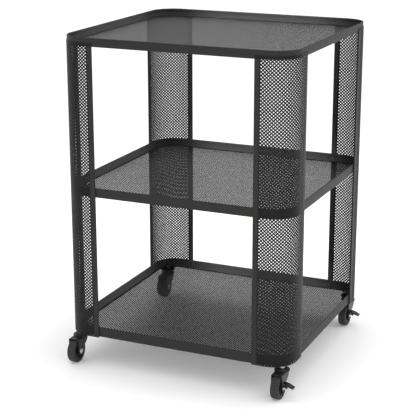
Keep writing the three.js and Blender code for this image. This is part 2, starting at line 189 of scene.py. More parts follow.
rim_paint = powder_coat("powder_coat_on_rims", RIM_COLOUR, 0.42, 0.56)

for tray in ("bottom", "middle", "top"):
    low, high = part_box(f"tray_rim_{tray}")
    inset = HALF_WIDTH - (high.x - low.x) / 2
    height = high.z - low.z
    section = rounded([
        (0, 0, 0.9 * MM),
        (0, height, 1 * MM),
        (RIM_FOLD, height, 1 * MM),
        (RIM_FOLD, height - RIM_FOLD_DEPTH, 0.5 * MM),
        (RIM_SHEET, height - RIM_FOLD_DEPTH, 0.3 * MM),
        (RIM_SHEET, RIM_LIP_SHEET, 0.4 * MM),
        (RIM_LIP, RIM_LIP_SHEET, 0.3 * MM),
        (RIM_LIP, 0, 0.3 * MM),
    ])
    rings = []
    for quarter in range(4):
        for step in range(RIM_BEND_STEPS + 1):
            turn = step / RIM_BEND_STEPS
            rings.append([
                (*outline_point(inset + inward, quarter, turn), low.z + rise)
                for inward, rise in section
            ])
    form = bmesh.new()
    skin(form, rings)
    rim = shown(f"bent_rim_{tray}", form, rim_paint, crease=50)
    fasten(rim, "cart_frame", "painted_rim", f"tray_rim_{tray}")

# ------------------------------------------------------------------------------ tray panels
# Each panel is thin sheet steel, punched all over with diamond holes, spot welded to the rim's lip and
# painted with it. It is made here in two halves, with a narrow plain edge where it meets the rim.

PANEL_PITCH_X = 6.85 * MM
PANEL_PITCH_Y = 6.26 * MM
PANEL_SHEET = 0.2 * MM
PANEL_HOLE_SHARE = 0.46
LEAST_HOLE = 0.3
EDGE_STEPS = 8
MESH_COLOUR = "#131313"


def clipped(polygon, start, end):
    """The part of a polygon to the left of the line from start to end."""
    def left(point):
        return (end[0] - start[0]) * (point[1] - start[1]) - (end[1] - start[1]) * (point[0] - start[0])
    kept = []
    for before, point in zip(polygon[-1:] + polygon[:-1], polygon):
        a, b = left(before), left(point)
        if (a < 0) != (b < 0):
            t = a / (a - b)
            kept.append(tuple(p + (q - p) * t for p, q in zip(before, point)))
        if b >= 0:
            kept.append(point)
    return kept


def area(polygon):
    """The area of a counter-clockwise polygon."""
    return sum(p[0] * q[1] - q[0] * p[1] for p, q in zip(polygon, polygon[1:] + polygon[:1])) / 2


def sheet_form(cells, place):
    """A sheet of flat cells (polygon, is_hole), put in place by a function of its flat points."""
    form = bmesh.new()
    hole = form.faces.layers.bool.new("hole")
    corners = {}
    for polygon, is_hole in cells:
        loop = []
        for point in polygon:
            key = (round(point[0] / MM, 3), round(point[1] / MM, 3))
            if key not in corners:
                corners[key] = form.verts.new(place(*point))
            if corners[key] not in loop:
                loop.append(corners[key])
        if len(loop) > 2:
            form.faces.new(loop)[hole] = is_hole
    return form


def perforation_tree():
    """Punches a hole through each marked face of a sheet, and gives the sheet its thickness."""
    tree = bpy.data.node_groups.new("diamond_perforation", "GeometryNodeTree")
    for name, kind in (
        ("Sheet", "NodeSocketGeometry"),
        ("Hole share", "NodeSocketFloat"),
        ("Thickness", "NodeSocketFloat"),
        ("Paint", "NodeSocketMaterial"),
    ):
        tree.interface.new_socket(name, in_out="INPUT", socket_type=kind)
    tree.interface.new_socket("Sheet", in_out="OUTPUT", socket_type="NodeSocketGeometry")
    given = add_node(tree, "NodeGroupInput").outputs
    marked = add_node(tree, "GeometryNodeInputNamedAttribute", {"data_type": "BOOLEAN"}, {"Name": "hole"})
    inset = add_node(tree, "GeometryNodeExtrudeMesh", {"mode": "FACES"}, {
        "Mesh": given["Sheet"], "Selection": marked.outputs["Attribute"],
        "Offset Scale": 0.0, "Individual": True})
    shrunk = add_node(tree, "GeometryNodeScaleElements", {"domain": "FACE"}, {
        "Geometry": inset.outputs["Mesh"], "Selection": inset.outputs["Top"], "Scale": given["Hole share"]})
    punched = add_node(tree, "GeometryNodeDeleteGeometry", {"domain": "FACE", "mode": "ALL"}, {
        "Geometry": shrunk.outputs["Geometry"], "Selection": inset.outputs["Top"]})
    outer = add_node(tree, "GeometryNodeExtrudeMesh", {"mode": "FACES"}, {
        "Mesh": punched.outputs["Geometry"], "Offset Scale": given["Thickness"], "Individual": False})
    inner = add_node(tree, "GeometryNodeFlipFaces", inputs={"Mesh": punched.outputs["Geometry"]})
    joined = add_node(tree, "GeometryNodeJoinGeometry")
    tree.links.new(outer.outputs["Mesh"], joined.inputs["Geometry"])
    tree.links.new(inner.outputs["Mesh"], joined.inputs["Geometry"])
    closed = add_node(tree, "GeometryNodeMergeByDistance", inputs={
        "Geometry": joined.outputs["Geometry"], "Distance": 0.001 * MM})
    plain = add_node(tree, "GeometryNodeRealizeInstances", inputs={"Geometry": closed.outputs["Geometry"]})
    painted = add_node(tree, "GeometryNodeSetMaterial", inputs={
        "Geometry": plain.outputs["Geometry"], "Material": given["Paint"]})
    result = add_node(tree, "NodeGroupOutput")
    tree.links.new(painted.outputs["Geometry"], result.inputs["Sheet"])
    return tree


def made_by_nodes(name, mesh, tree, inputs, crease=35):
    """An object whose mesh is what a node tree makes of mesh, with nothing left live on it."""
    piece = bpy.data.objects.new(name, mesh)
    bpy.context.scene.collection.objects.link(piece)
    modifier = piece.modifiers.new(tree.name, "NODES")
    modifier.node_group = tree
    for socket in tree.interface.items_tree:
        if socket.in_out == "INPUT" and socket.name in inputs:
            modifier[socket.identifier] = inputs[socket.name]
    depsgraph = bpy.context.evaluated_depsgraph_get()
    made = bpy.data.meshes.new_from_object(piece.evaluated_get(depsgraph))
    piece.modifiers.clear()
    piece.data = made
    made.name = name
    made.shade_smooth()
    made.set_sharp_from_angle(angle=math.radians(crease))
    return piece


mesh_paint = powder_coat("powder_coat_on_perforated_sheet", MESH_COLOUR, 0.42, 0.56)
perforation = perforation_tree()

for tray in ("bottom", "middle", "top"):
    low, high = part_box(f"tray_panel_{tray}")
    inset = HALF_WIDTH - (high.x - low.x) / 2
    edge = [
        outline_point(inset, quarter, step / EDGE_STEPS)
        for quarter in range(4) for step in range(EDGE_STEPS + 1)
    ]
    columns = math.ceil((high.x - low.x) / PANEL_PITCH_X) + 1
    rows = math.ceil((high.y - low.y) / PANEL_PITCH_Y) + 1
    halves = {"left": [], "right": []}
    for row in range(-rows, rows + 1):
        for column in range(-columns, columns + 1):
            if (row + column) % 2:
                continue
            x = MIDDLE_X + column * PANEL_PITCH_X / 2
            y = MIDDLE_Y + row * PANEL_PITCH_Y / 2
            cell = [
                (x + PANEL_PITCH_X / 2, y), (x, y + PANEL_PITCH_Y / 2),
                (x - PANEL_PITCH_X / 2, y), (x, y - PANEL_PITCH_Y / 2),
            ]
            from_side = HALF_WIDTH - inset - abs(x - MIDDLE_X)
            from_front = HALF_DEPTH - inset - abs(y - MIDDLE_Y)
            in_corner = from_side < BEND_RADIUS and from_front < BEND_RADIUS
            if in_corner or from_side < PANEL_PITCH_X or from_front < PANEL_PITCH_Y:
                for start, end in zip(edge, edge[1:] + edge[:1]):
                    cell = clipped(cell, start, end)
                    if len(cell) < 3:
                        break
            if len(cell) > 2:
                whole = PANEL_PITCH_X * PANEL_PITCH_Y / 2
                halves["left" if column < 0 else "right"].append((cell, area(cell) > LEAST_HOLE * whole))
    for half, cells in halves.items():
        form = sheet_form(cells, lambda x, y: (x, y, high.z - PANEL_SHEET))
        mesh = bpy.data.meshes.new("panel_pattern")
        form.to_mesh(mesh)
        form.free()
        panel = made_by_nodes(f"perforated_panel_{tray}_{half}", mesh, perforation, {
            "Hole share": PANEL_HOLE_SHARE, "Thickness": PANEL_SHEET, "Paint": mesh_paint})
        fasten(panel, "cart_frame", "painted_mesh", f"tray_panel_{tray}")

# ------------------------------------------------------------------------------ corner columns
# Each column is the same perforated sheet, bent round the corner, with a plain strip along each free
# edge folded back on itself into a stiff hem. The hems stop under the top tray, and the sheet laps over
# the trays' rims.

COLUMN_PITCH_ROUND = 7.0 * MM
COLUMN_PITCH_UP = 6.5 * MM
COLUMN_SHEET = 0.8 * MM
COLUMN_HOLE_SHARE = 0.49
HEM_WIDTH = 10 * MM
HEM_THICKNESS = 2.6 * MM
HEM_ROUND = 0.8 * MM
HEM_TO_TRAY = 0.3 * MM
FLANGE_FLAT = 25 * MM
CORNERS = {"front_left": (-1, -1), "front_right": (1, -1), "back_right": (1, 1), "back_left": (-1, 1)}

bend_length = BEND_RADIUS * math.pi / 2
sheet_width = 2 * FLANGE_FLAT + bend_length
half_columns = round(2 * (sheet_width - 2 * HEM_WIDTH) / COLUMN_PITCH_ROUND)
half_pitch = (sheet_width - 2 * HEM_WIDTH) / half_columns


def on_column(along, inward, side_x, side_y):
    """The plan point at a distance along the column's outer face, and inward from it."""
    radius = BEND_RADIUS - inward
    bend_x = HALF_WIDTH - BEND_RADIUS
    bend_y = HALF_DEPTH - BEND_RADIUS
    if along < FLANGE_FLAT:
        x, y = bend_x + radius, bend_y - FLANGE_FLAT + along
    elif along > FLANGE_FLAT + bend_length:
        x, y = bend_x - (along - FLANGE_FLAT - bend_length), bend_y + radius
    else:
        angle = (along - FLANGE_FLAT) / BEND_RADIUS
        x, y = bend_x + radius * math.cos(angle), bend_y + radius * math.sin(angle)
    return (MIDDLE_X + side_x * x, MIDDLE_Y + side_y * y)


for corner, (side_x, side_y) in CORNERS.items():
    low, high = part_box(f"column_{corner}")
    hem_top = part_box("tray_rim_top")[0].z - HEM_TO_TRAY
    half_rows = round(2 * (high.z - low.z) / COLUMN_PITCH_UP)
    half_rise = (high.z - low.z) / half_rows
    cells = []
    for row in range(half_rows + 1):
        for column in range(half_columns + 1):
            if (row + column) % 2 == 0:
                continue
            along = HEM_WIDTH + column * half_pitch
            z = low.z + row * half_rise
            right = min(along + half_pitch, sheet_width - HEM_WIDTH)
            left = max(along - half_pitch, HEM_WIDTH)
            above = min(z + half_rise, high.z)
            below = max(z - half_rise, low.z)
            cell = [(right, z), (along, above), (left, z), (along, below)]
            whole = 0 < row < half_rows and 0 < column < half_columns
            cells.append((cell, whole))
    for start in (0, sheet_width - HEM_WIDTH):
        cells.append(([
            (start, hem_top), (start + HEM_WIDTH, hem_top), (start + HEM_WIDTH, high.z), (start, high.z),
        ], False))
    if side_x * side_y < 0:
        cells = [(cell[::-1], is_hole) for cell, is_hole in cells]
    form = sheet_form(cells, lambda along, z: (*on_column(along, COLUMN_SHEET, side_x, side_y), z))
    mesh = bpy.data.meshes.new("column_pattern")
    form.to_mesh(mesh)
    form.free()
    sheet = made_by_nodes(f"perforated_column_{corner}", mesh, perforation, {
        "Hole share": COLUMN_HOLE_SHARE, "Thickness": COLUMN_SHEET, "Paint": mesh_paint})
    fasten(sheet, "cart_frame", "painted_mesh", f"column_{corner}")
    form = bmesh.new()
    for start, fold in ((0, 1), (sheet_width, -1)):
        section = rounded([
            (0, 0, HEM_ROUND), (HEM_WIDTH, 0, 0.2 * MM),
            (HEM_WIDTH, HEM_THICKNESS, 0.5 * MM), (0, HEM_THICKNESS, HEM_ROUND),
        ])
        ends = []
        for z in (low.z, hem_top):
            ends.append([
                form.verts.new((*on_column(start + fold * along, inward, side_x, side_y), z))
                for along, inward in section
            ])
        for i in range(len(section)):
            form.faces.new((ends[0][i - 1], ends[0][i], ends[1][i], ends[1][i - 1]))
        form.faces.new(ends[0])
        form.faces.new(ends[1])
    hems = shown(f"folded_hems_{corner}", form, rim_paint, crease=50)
    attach(hems, "cart_frame")

# ------------------------------------------------------------------------------ tray screws
# Sixteen M4 button-head screws of blackened steel hold the two lower trays. They are put in from
# inside the tray, through the rim, into the columns' hems.

SCREW_HEAD_RADIUS = 3.8 * MM
SCREW_HEAD_HEIGHT = 2.2 * MM
SCREW_SHANK_RADIUS = 2 * MM
SCREW_KEY = 1.44 * MM
SCREW_COLOUR = "#1E1E1F"


def blackened_steel(name, colour, roughness):
    """Steel with a black finish, stamped or turned."""
    # A dipped black finish is nearly even, with a soft sheen and faint streaks in how shiny it is.
    material = bpy.data.materials.new(name)
    material.use_nodes = True
    tree = material.node_tree
    shader = tree.nodes["Principled BSDF"]
    shader.inputs["Metallic"].default_value = 0
    shader.inputs["IOR"].default_value = 1.5
    place = add_node(tree, "ShaderNodeTexCoord").outputs["Object"]
    drift = add_node(tree, "ShaderNodeTexNoise", inputs={
        "Vector": place, "Scale": 1 / (12 * MM), "Detail": 4, "Roughness": 0.6})
    tone = add_node(tree, "ShaderNodeMix", {"data_type": "RGBA"}, {
        0: drift.outputs["Fac"], 6: shade(colour, 0.85), 7: shade(colour, 1.15)})
    tree.links.new(tone.outputs[2], shader.inputs["Base Color"])
    vary_gloss(tree, shader, drift, roughness - 0.06, roughness + 0.06)
    grain = add_node(tree, "ShaderNodeTexNoise", inputs={"Vector": place, "Scale": 1 / (0.9 * MM)})
    emboss(tree, shader, grain, 0.2, 0.04 * MM)
    return material


def screw_tree():
    """Puts a button-head screw on each point, with its shank along the point's outward direction."""
    tree = bpy.data.node_groups.new("button_head_screws", "GeometryNodeTree")
    for name, kind in (
        ("Points", "NodeSocketGeometry"),
        ("Head radius", "NodeSocketFloat"),
        ("Head height", "NodeSocketFloat"),
        ("Shank radius", "NodeSocketFloat"),
        ("Shank length", "NodeSocketFloat"),
        ("Key radius", "NodeSocketFloat"),
        ("Finish", "NodeSocketMaterial"),
    ):
        tree.interface.new_socket(name, in_out="INPUT", socket_type=kind)
    tree.interface.new_socket("Screws", in_out="OUTPUT", socket_type="NodeSocketGeometry")
    given = add_node(tree, "NodeGroupInput").outputs

    def share(value, factor):
        return add_node(tree, "ShaderNodeMath", {"operation": "MULTIPLY"}, {
            0: value, 1: factor}).outputs["Value"]

    def lifted(geometry, height):
        offset = add_node(tree, "ShaderNodeCombineXYZ", inputs={"Z": height})
        return add_node(tree, "GeometryNodeTransform", inputs={
            "Geometry": geometry, "Translation": offset.outputs["Vector"]}).outputs["Geometry"]

    dome = add_node(tree, "GeometryNodeMeshCone", inputs={
        "Vertices": 20, "Radius Top": share(given["Head radius"], 0.93),
        "Radius Bottom": share(given["Head radius"], 0.62), "Depth": share(given["Head height"], 0.45)})
    skirt = add_node(tree, "GeometryNodeMeshCone", inputs={
        "Vertices": 20, "Radius Top": given["Head radius"],
        "Radius Bottom": share(given["Head radius"], 0.93), "Depth": share(given["Head height"], 0.55)})
    shank = add_node(tree, "GeometryNodeMeshCylinder", inputs={
        "Vertices": 12, "Radius": given["Shank radius"], "Depth": given["Shank length"]})
    key = add_node(tree, "GeometryNodeMeshCylinder", inputs={
        "Vertices": 6, "Radius": given["Key radius"], "Depth": given["Head height"]})
    whole = add_node(tree, "GeometryNodeMeshBoolean", {"operation": "UNION"})
    middle_of_shank = add_node(tree, "ShaderNodeMath", {"operation": "MULTIPLY_ADD"}, {
        0: given["Shank length"], 1: 0.5, 2: share(given["Head height"], 0.6)})
    for geometry in (
        dome.outputs["Mesh"],
        lifted(skirt.outputs["Mesh"], share(given["Head height"], 0.45)),
        lifted(shank.outputs["Mesh"], middle_of_shank.outputs["Value"]),
    ):
        tree.links.new(geometry, whole.inputs["Mesh 2"])
    keyed = add_node(tree, "GeometryNodeMeshBoolean", {"operation": "DIFFERENCE"}, {
        "Mesh 1": whole.outputs["Mesh"], "Mesh 2": key.outputs["Mesh"]})
    outward = add_node(tree, "GeometryNodeInputNamedAttribute", {"data_type": "FLOAT_VECTOR"}, {
        "Name": "outward"})
    turned_out = add_node(tree, "FunctionNodeAlignRotationToVector", {"axis": "Z"}, {
        "Vector": outward.outputs["Attribute"]})
    placed = add_node(tree, "GeometryNodeInstanceOnPoints", inputs={
        "Points": given["Points"], "Instance": keyed.outputs["Mesh"],
        "Rotation": turned_out.outputs["Rotation"]})
    plain = add_node(tree, "GeometryNodeRealizeInstances", inputs={"Geometry": placed.outputs["Instances"]})
    finished = add_node(tree, "GeometryNodeSetMaterial", inputs={
        "Geometry": plain.outputs["Geometry"], "Material": given["Finish"]})
    result = add_node(tree, "NodeGroupOutput")
    tree.links.new(finished.outputs["Geometry"], result.inputs["Screws"])
    return tree


screw_finish = blackened_steel("blackened_screw_steel", SCREW_COLOUR, 0.42)
screw_nodes = sorted(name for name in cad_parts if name.startswith("screw_"))
heads = []
directions = []
for name in screw_nodes:
    low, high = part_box(name)
    middle = (low + high) / 2
    way = Vector((1, 0, 0)) if name.endswith("_x") else Vector((0, 1, 0))
    if way.dot(middle) < way.dot(Vector((MIDDLE_X, MIDDLE_Y, 0))):
        way = -way
    screw_length = abs((high - low).dot(way))
    heads.append(middle - way * screw_length / 2)
    directions.append(way)
points = bpy.data.meshes.new("screw_points")
points.from_pydata(heads, [], [])
outward = points.attributes.new("outward", "FLOAT_VECTOR", "POINT")
outward.data.foreach_set("vector", [c for direction in directions for c in direction])
screws = made_by_nodes("tray_screws", points, screw_tree(), {
    "Head radius": SCREW_HEAD_RADIUS, "Head height": SCREW_HEAD_HEIGHT,
    "Shank radius": SCREW_SHANK_RADIUS, "Shank length": screw_length - 0.6 * SCREW_HEAD_HEIGHT,
    "Key radius": SCREW_KEY, "Finish": screw_finish})
fasten(screws, "cart_frame", "black_steel", *screw_nodes)

# ------------------------------------------------------------------------------ caster plates
# Under each corner of the bottom tray a 2 mm steel plate with a threaded boss is welded to the rim.
# The boss stands up through the panel and takes the caster's stem. It is painted with the tray.

PLATE_RADIUS = 16 * MM
PLATE_SHEET = 2 * MM
PLATE_TO_RIM = 3.2 * MM
BOSS_RADIUS = 5.4 * MM
BOSS_BORE = 4.3 * MM
PLATE_SIDES = 48


def at_stem(corner):
    """The swivel axis of a corner's caster, as (x, y)."""
    low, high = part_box(f"stem_{corner}")
    return (low.x + high.x) / 2, (low.y + high.y) / 2


def turned(profile, centre, axis, sides):
    """Rings for skin(): a closed profile of (radius, distance) turned round an axis through centre."""
    rings = []
    for side in range(sides):
        angle = 2 * math.pi * side / sides
        ring = []
        for radius, distance in profile:
            across, up = radius * math.cos(angle), radius * math.sin(angle)
            offset = {"x": (distance, across, up), "y": (across, distance, up), "z": (across, up, distance)}
            ring.append(tuple(c + o for c, o in zip(centre, offset[axis])))
        rings.append(ring)
    return rings


for corner, (side_x, side_y) in CORNERS.items():
    low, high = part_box(f"caster_bracket_{corner}")
    x, y = at_stem(corner)
    reach = BEND_RADIUS - PLATE_TO_RIM
    bend = Vector((
        MIDDLE_X + side_x * (HALF_WIDTH - BEND_RADIUS), MIDDLE_Y + side_y * (HALF_DEPTH - BEND_RADIUS)))
    rings = []
    for side in range(PLATE_SIDES):
        angle = 2 * math.pi * side / PLATE_SIDES
        way = Vector((math.cos(angle), math.sin(angle)))
        start = Vector((x, y)) - bend
        along = start.dot(way)
        to_rim = -along + math.sqrt(along**2 - start.length_squared + reach**2)
        edge = min(PLATE_RADIUS, to_rim)
        section = rounded([
            (BOSS_BORE, 0, 0.2 * MM), (edge, 0, 0.3 * MM), (edge, PLATE_SHEET, 0.3 * MM),
            (BOSS_RADIUS, PLATE_SHEET, 0.5 * MM), (BOSS_RADIUS, high.z - low.z, 0.5 * MM),
            (BOSS_BORE, high.z - low.z, 0.3 * MM),
        ], 2)
        rings.append([(x + r * way.x, y + r * way.y, low.z + rise) for r, rise in section])
    form = bmesh.new()
    skin(form, rings)
    plate = shown(f"caster_plate_{corner}", form, rim_paint)
    fasten(plate, "cart_frame", "painted_rim", f"caster_bracket_{corner}")

# ------------------------------------------------------------------------------ caster stems
# The stem is turned from hexagon bar: an M8 thread above, an 11 mm hexagon collar with chamfered
# corners, and below it the kingpin that the swivel turns on, riveted inside the fork. It is zinc plated.

HEX_FLAT = 5.5 * MM
HEX_CORNER = HEX_FLAT / math.cos(math.pi / 6)
HEX_FACE = 0.96 * HEX_FLAT
HEX_CHAMFER = 0.7 * MM
HEX_CHAMFER_STEPS = 4
CAP_TO_HEX = 0.2 * MM
THREAD_RADIUS = 4 * MM
KINGPIN_RADIUS = 3.5 * MM
RIVET_RADIUS = 5.5 * MM
RIVET_HEIGHT = 1.6 * MM
HEX_HEIGHT = 4.8 * MM
STEM_SIDES = 48
ZINC_COLOUR = "#D3D5D8"

zinc_plate = bpy.data.materials.new("bright_zinc_plate")
# Bright zinc on turned steel mirrors the room softly, with a faintly uneven gloss where it is thin.
zinc_plate.use_nodes = True
zinc_tree = zinc_plate.node_tree
zinc_shader = zinc_tree.nodes["Principled BSDF"]
zinc_shader.inputs["Metallic"].default_value = 1
zinc_place = add_node(zinc_tree, "ShaderNodeTexCoord").outputs["Object"]
zinc_cloud = add_node(zinc_tree, "ShaderNodeTexNoise", inputs={
    "Vector": zinc_place, "Scale": 1 / (3 * MM), "Detail": 5, "Roughness": 0.6})
zinc_tone = add_node(zinc_tree, "ShaderNodeMix", {"data_type": "RGBA"}, {
    0: zinc_cloud.outputs["Fac"], 6: shade(ZINC_COLOUR, 0.88), 7: linear(ZINC_COLOUR)})
vary_gloss(zinc_tree, zinc_shader, zinc_cloud, 0.22, 0.38)
zinc_tree.links.new(zinc_tone.outputs[2], zinc_shader.inputs["Base Color"])
emboss(zinc_tree, zinc_shader, zinc_cloud, 0.15, 0.03 * MM)


def hexagon(angle):
    """The radius of the hexagon collar in a direction."""
    return HEX_FLAT / math.cos((angle + math.pi / 6) % (math.pi / 3) - math.pi / 6)


for corner in CORNERS:
    low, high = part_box(f"stem_{corner}")
    x, y = at_stem(corner)
    hex_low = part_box(f"swivel_cap_{corner}")[1].z + CAP_TO_HEX
    hex_high = hex_low + HEX_HEIGHT
    rings = []
    for side in range(STEM_SIDES):
        angle = 2 * math.pi * side / STEM_SIDES
        section = [
            (0, low.z), (RIVET_RADIUS - 0.5 * MM, low.z), (RIVET_RADIUS, low.z + 0.4 * MM),
            (RIVET_RADIUS, low.z + RIVET_HEIGHT), (KINGPIN_RADIUS, low.z + RIVET_HEIGHT),
            (KINGPIN_RADIUS, hex_low),
        ]
        chamfer = []
        for step in range(HEX_CHAMFER_STEPS + 1):
            t = step / HEX_CHAMFER_STEPS
            cone = HEX_FACE + (HEX_CORNER - HEX_FACE) * math.sqrt(t)
            chamfer.append((min(hexagon(angle), cone), HEX_CHAMFER * t))
        section += [(radius, hex_low + rise) for radius, rise in chamfer]
        section += [(radius, hex_high - rise) for radius, rise in reversed(chamfer)]
        section += [
            (THREAD_RADIUS, hex_high), (THREAD_RADIUS, high.z - 0.6 * MM),
            (THREAD_RADIUS - 0.6 * MM, high.z), (0, high.z),
        ]
        rings.append([(x + r * math.cos(angle), y + r * math.sin(angle), z) for r, z in section])
    form = bmesh.new()
    skin(form, rings)
    stem = shown(f"hexagon_stem_{corner}", form, zinc_plate, crease=25)
    fasten(stem, "cart_frame", "zinc", f"stem_{corner}")

# ------------------------------------------------------------------------------ swivel caps
# The cap over the swivel's ball race is pressed from steel in two steps and dipped black. It turns
# with the fork.

CAP_UPPER_RADIUS = 11.2 * MM
CAP_LOWER_RADIUS = 15 * MM
CAP_STEP = 1.4 * MM
CAP_BORE = 3.8 * MM
CAP_COLOUR = "#161616"

race_steel = blackened_steel("black_pressed_race", CAP_COLOUR, 0.36)
for corner in CORNERS:
    low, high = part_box(f"swivel_cap_{corner}")
    x, y = at_stem(corner)
    height = high.z - low.z
    section = rounded([
        (CAP_BORE, 0, 0.1 * MM), (CAP_LOWER_RADIUS, 0, 0.3 * MM), (CAP_LOWER_RADIUS, CAP_STEP, 0.6 * MM),
        (CAP_UPPER_RADIUS, CAP_STEP, 0.3 * MM), (CAP_UPPER_RADIUS, height, 0.7 * MM),
        (CAP_BORE, height, 0.2 * MM),
    ])
    form = bmesh.new()
    skin(form, turned(section, (x, y, low.z), "z", 56))
    cap = shown(f"race_cap_{corner}", form, race_steel, crease=40)
    fasten(cap, f"caster_{corner}", "black_steel", f"swivel_cap_{corner}")

# ------------------------------------------------------------------------------ forks
# The fork is one blank of 2 mm steel, pressed over the wheel as a hood with a leg either side. Its
# crown carries the ball race. The braked forks have two lugs for the pedal's pin. It is dipped black.

FORK_SHEET = 2 * MM
FORK_ROUND = 3.4 * MM
FORK_INNER_ROUND = 1.4 * MM
CROWN_RADIUS = 15 * MM
CROWN_SHEET = 1.4 * MM
LEG_OUTER = 11.5 * MM
LEG_END = 8.2 * MM
LEG_FRONT_SET = 1 * MM
LEG_BACK_INSET = 2 * MM
LEG_BACK_FLAT = 6 * MM
LEG_BACK_BEND = 16 * MM
LUG_RADIUS = 2.6 * MM
LUG_SHEET = 1.3 * MM
FORK_COLOUR = "#111111"


def solid_between(form, start, end):
    """A prism between two like loops of points, closed at both ends."""
    first = [form.verts.new(point) for point in start]
    last = [form.verts.new(point) for point in end]
    for i in range(len(first)):
        form.faces.new((first[i - 1], first[i], last[i], last[i - 1]))
    form.faces.new(first)
    form.faces.new(last)


def loose(name, form):
    """A closed form as an object to join or cut with."""
    bmesh.ops.remove_doubles(form, verts=form.verts, dist=0.001 * MM)
    bmesh.ops.recalc_face_normals(form, faces=form.faces)
    mesh = bpy.data.meshes.new(name)
    form.to_mesh(mesh)
    form.free()
    made = bpy.data.objects.new(name, mesh)
    bpy.context.scene.collection.objects.link(made)
    return made


def combined(target, tool, operation):
    """The target's mesh joined, cut or trimmed by the tool, which goes."""
    modifier = target.modifiers.new(operation, "BOOLEAN")
    modifier.operation = operation
    modifier.solver = "EXACT"
    modifier.object = tool
    depsgraph = bpy.context.evaluated_depsgraph_get()
    made = bpy.data.meshes.new_from_object(target.evaluated_get(depsgraph))
    target.modifiers.clear()
    target.data = made
    bpy.data.objects.remove(tool)
    return target


def bezier(a, b, c, d, steps):
    """Points of a cubic curve after a, up to and with d."""
    points = []
    for step in range(1, steps + 1):
        t = step / steps
        points.append(tuple(
            p * (1 - t) ** 3 + 3 * q * t * (1 - t) ** 2 + 3 * r * t**2 * (1 - t) + s * t**3
            for p, q, r, s in zip(a, b, c, d)))
    return points


def break_edges(piece, width, sharper_than):
    """Rounds the edges of a piece that are sharper than an angle in degrees."""
    edge_break = piece.modifiers.new("edge_break", "BEVEL")
    edge_break.width = width
    edge_break.segments = 2
    edge_break.limit_method = "ANGLE"
    edge_break.angle_limit = math.radians(sharper_than)
    edge_break.harden_normals = True


fork_steel = blackened_steel("black_pressed_fork", FORK_COLOUR, 0.38)

for corner in CORNERS:
    low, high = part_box(f"fork_{corner}")
    axle_low, axle_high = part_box(f"axle_{corner}")
    x, y = at_stem(corner)
    axle_y = (axle_low.y + axle_high.y) / 2
    axle_z = (axle_low.z + axle_high.z) / 2
    front = axle_y - LEG_END - LEG_FRONT_SET
    back = y + math.sqrt(CROWN_RADIUS**2 - LEG_OUTER**2)
    channel = rounded([
        (-LEG_OUTER, 0, 0), (-LEG_OUTER, high.z, FORK_ROUND), (LEG_OUTER, high.z, FORK_ROUND),
        (LEG_OUTER, 0, 0), (LEG_OUTER - FORK_SHEET, 0, 0),
        (LEG_OUTER - FORK_SHEET, high.z - CROWN_SHEET, FORK_INNER_ROUND),
        (-LEG_OUTER + FORK_SHEET, high.z - CROWN_SHEET, FORK_INNER_ROUND),
        (-LEG_OUTER + FORK_SHEET, 0, 0),
    ], 6)
    form = bmesh.new()
    solid_between(form, [(x + a, front - 5 * MM, b) for a, b in channel],
                  [(x + a, back + 5 * MM, b) for a, b in channel])
    fork = loose("fork_channel", form)
    side = [(front, high.z + 1 * MM), (front, axle_z + LEG_END)]
    side += bezier(side[-1], (front, axle_z + 4 * MM), (axle_y - LEG_END, axle_z + 3 * MM),
                   (axle_y - LEG_END, axle_z), 6)
    for step in range(1, 17):
        angle = math.pi + math.pi * step / 16
        side.append((axle_y + LEG_END * math.cos(angle), axle_z + LEG_END * math.sin(angle)))
    side += bezier(side[-1], (axle_y + LEG_END, axle_z + LEG_END),
                   (back - LEG_BACK_INSET, high.z - LEG_BACK_BEND),
                   (back - LEG_BACK_INSET, high.z - LEG_BACK_FLAT), 10)
    side += [(back, high.z), (back, high.z + 1 * MM)]
    form = bmesh.new()
    solid_between(form, [(x - 20 * MM, a, b) for a, b in side], [(x + 20 * MM, a, b) for a, b in side])
    fork = combined(fork, loose("fork_side", form), "INTERSECT")
    form = bmesh.new()
    skin(form, turned([(0, 0), (CROWN_RADIUS, 0), (CROWN_RADIUS, CROWN_SHEET), (0, CROWN_SHEET)],
                      (x, y, high.z - CROWN_SHEET), "z", 56))
    bmesh.ops.dissolve_degenerate(form, edges=form.edges, dist=0.0001 * MM)
    fork = combined(fork, loose("fork_crown", form), "UNION")
    if f"brake_pin_{corner}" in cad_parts:
        pin_low, pin_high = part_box(f"brake_pin_{corner}")
        pin = (pin_low + pin_high) / 2
        for lug_y in (pin_low.y, pin_high.y - LUG_SHEET):
            lug = [(x + LEG_OUTER - FORK_SHEET / 2, pin.z - LUG_RADIUS)]
            for step in range(13):
                angle = -math.pi / 2 + math.pi * step / 12
                lug.append((pin.x + LUG_RADIUS * math.cos(angle), pin.z + LUG_RADIUS * math.sin(angle)))
            lug.append((x + LEG_OUTER - FORK_SHEET / 2, pin.z + LUG_RADIUS))
            form = bmesh.new()
            solid_between(form, [(a, lug_y, b) for a, b in lug], [(a, lug_y + LUG_SHEET, b) for a, b in lug])
            fork = combined(fork, loose("fork_lug", form), "UNION")
    fork.name = f"pressed_fork_{corner}"
    fork.data.name = fork.name
    fork.data.shade_smooth()
    fork.data.materials.clear()
    fork.data.materials.append(fork_steel)
    break_edges(fork, 0.35 * MM, 35)
    fasten(fork, f"caster_{corner}", "black_steel", f"fork_{corner}")

# ------------------------------------------------------------------------------ axles
# The axle is a plated steel rivet through both legs, with a domed head formed at each end.

AXLE_RADIUS = 2.5 * MM
AXLE_HEAD_RADIUS = 5.4 * MM
AXLE_HEAD_HEIGHT = 2.4 * MM
AXLE_HEAD_EDGE = 0.5 * MM

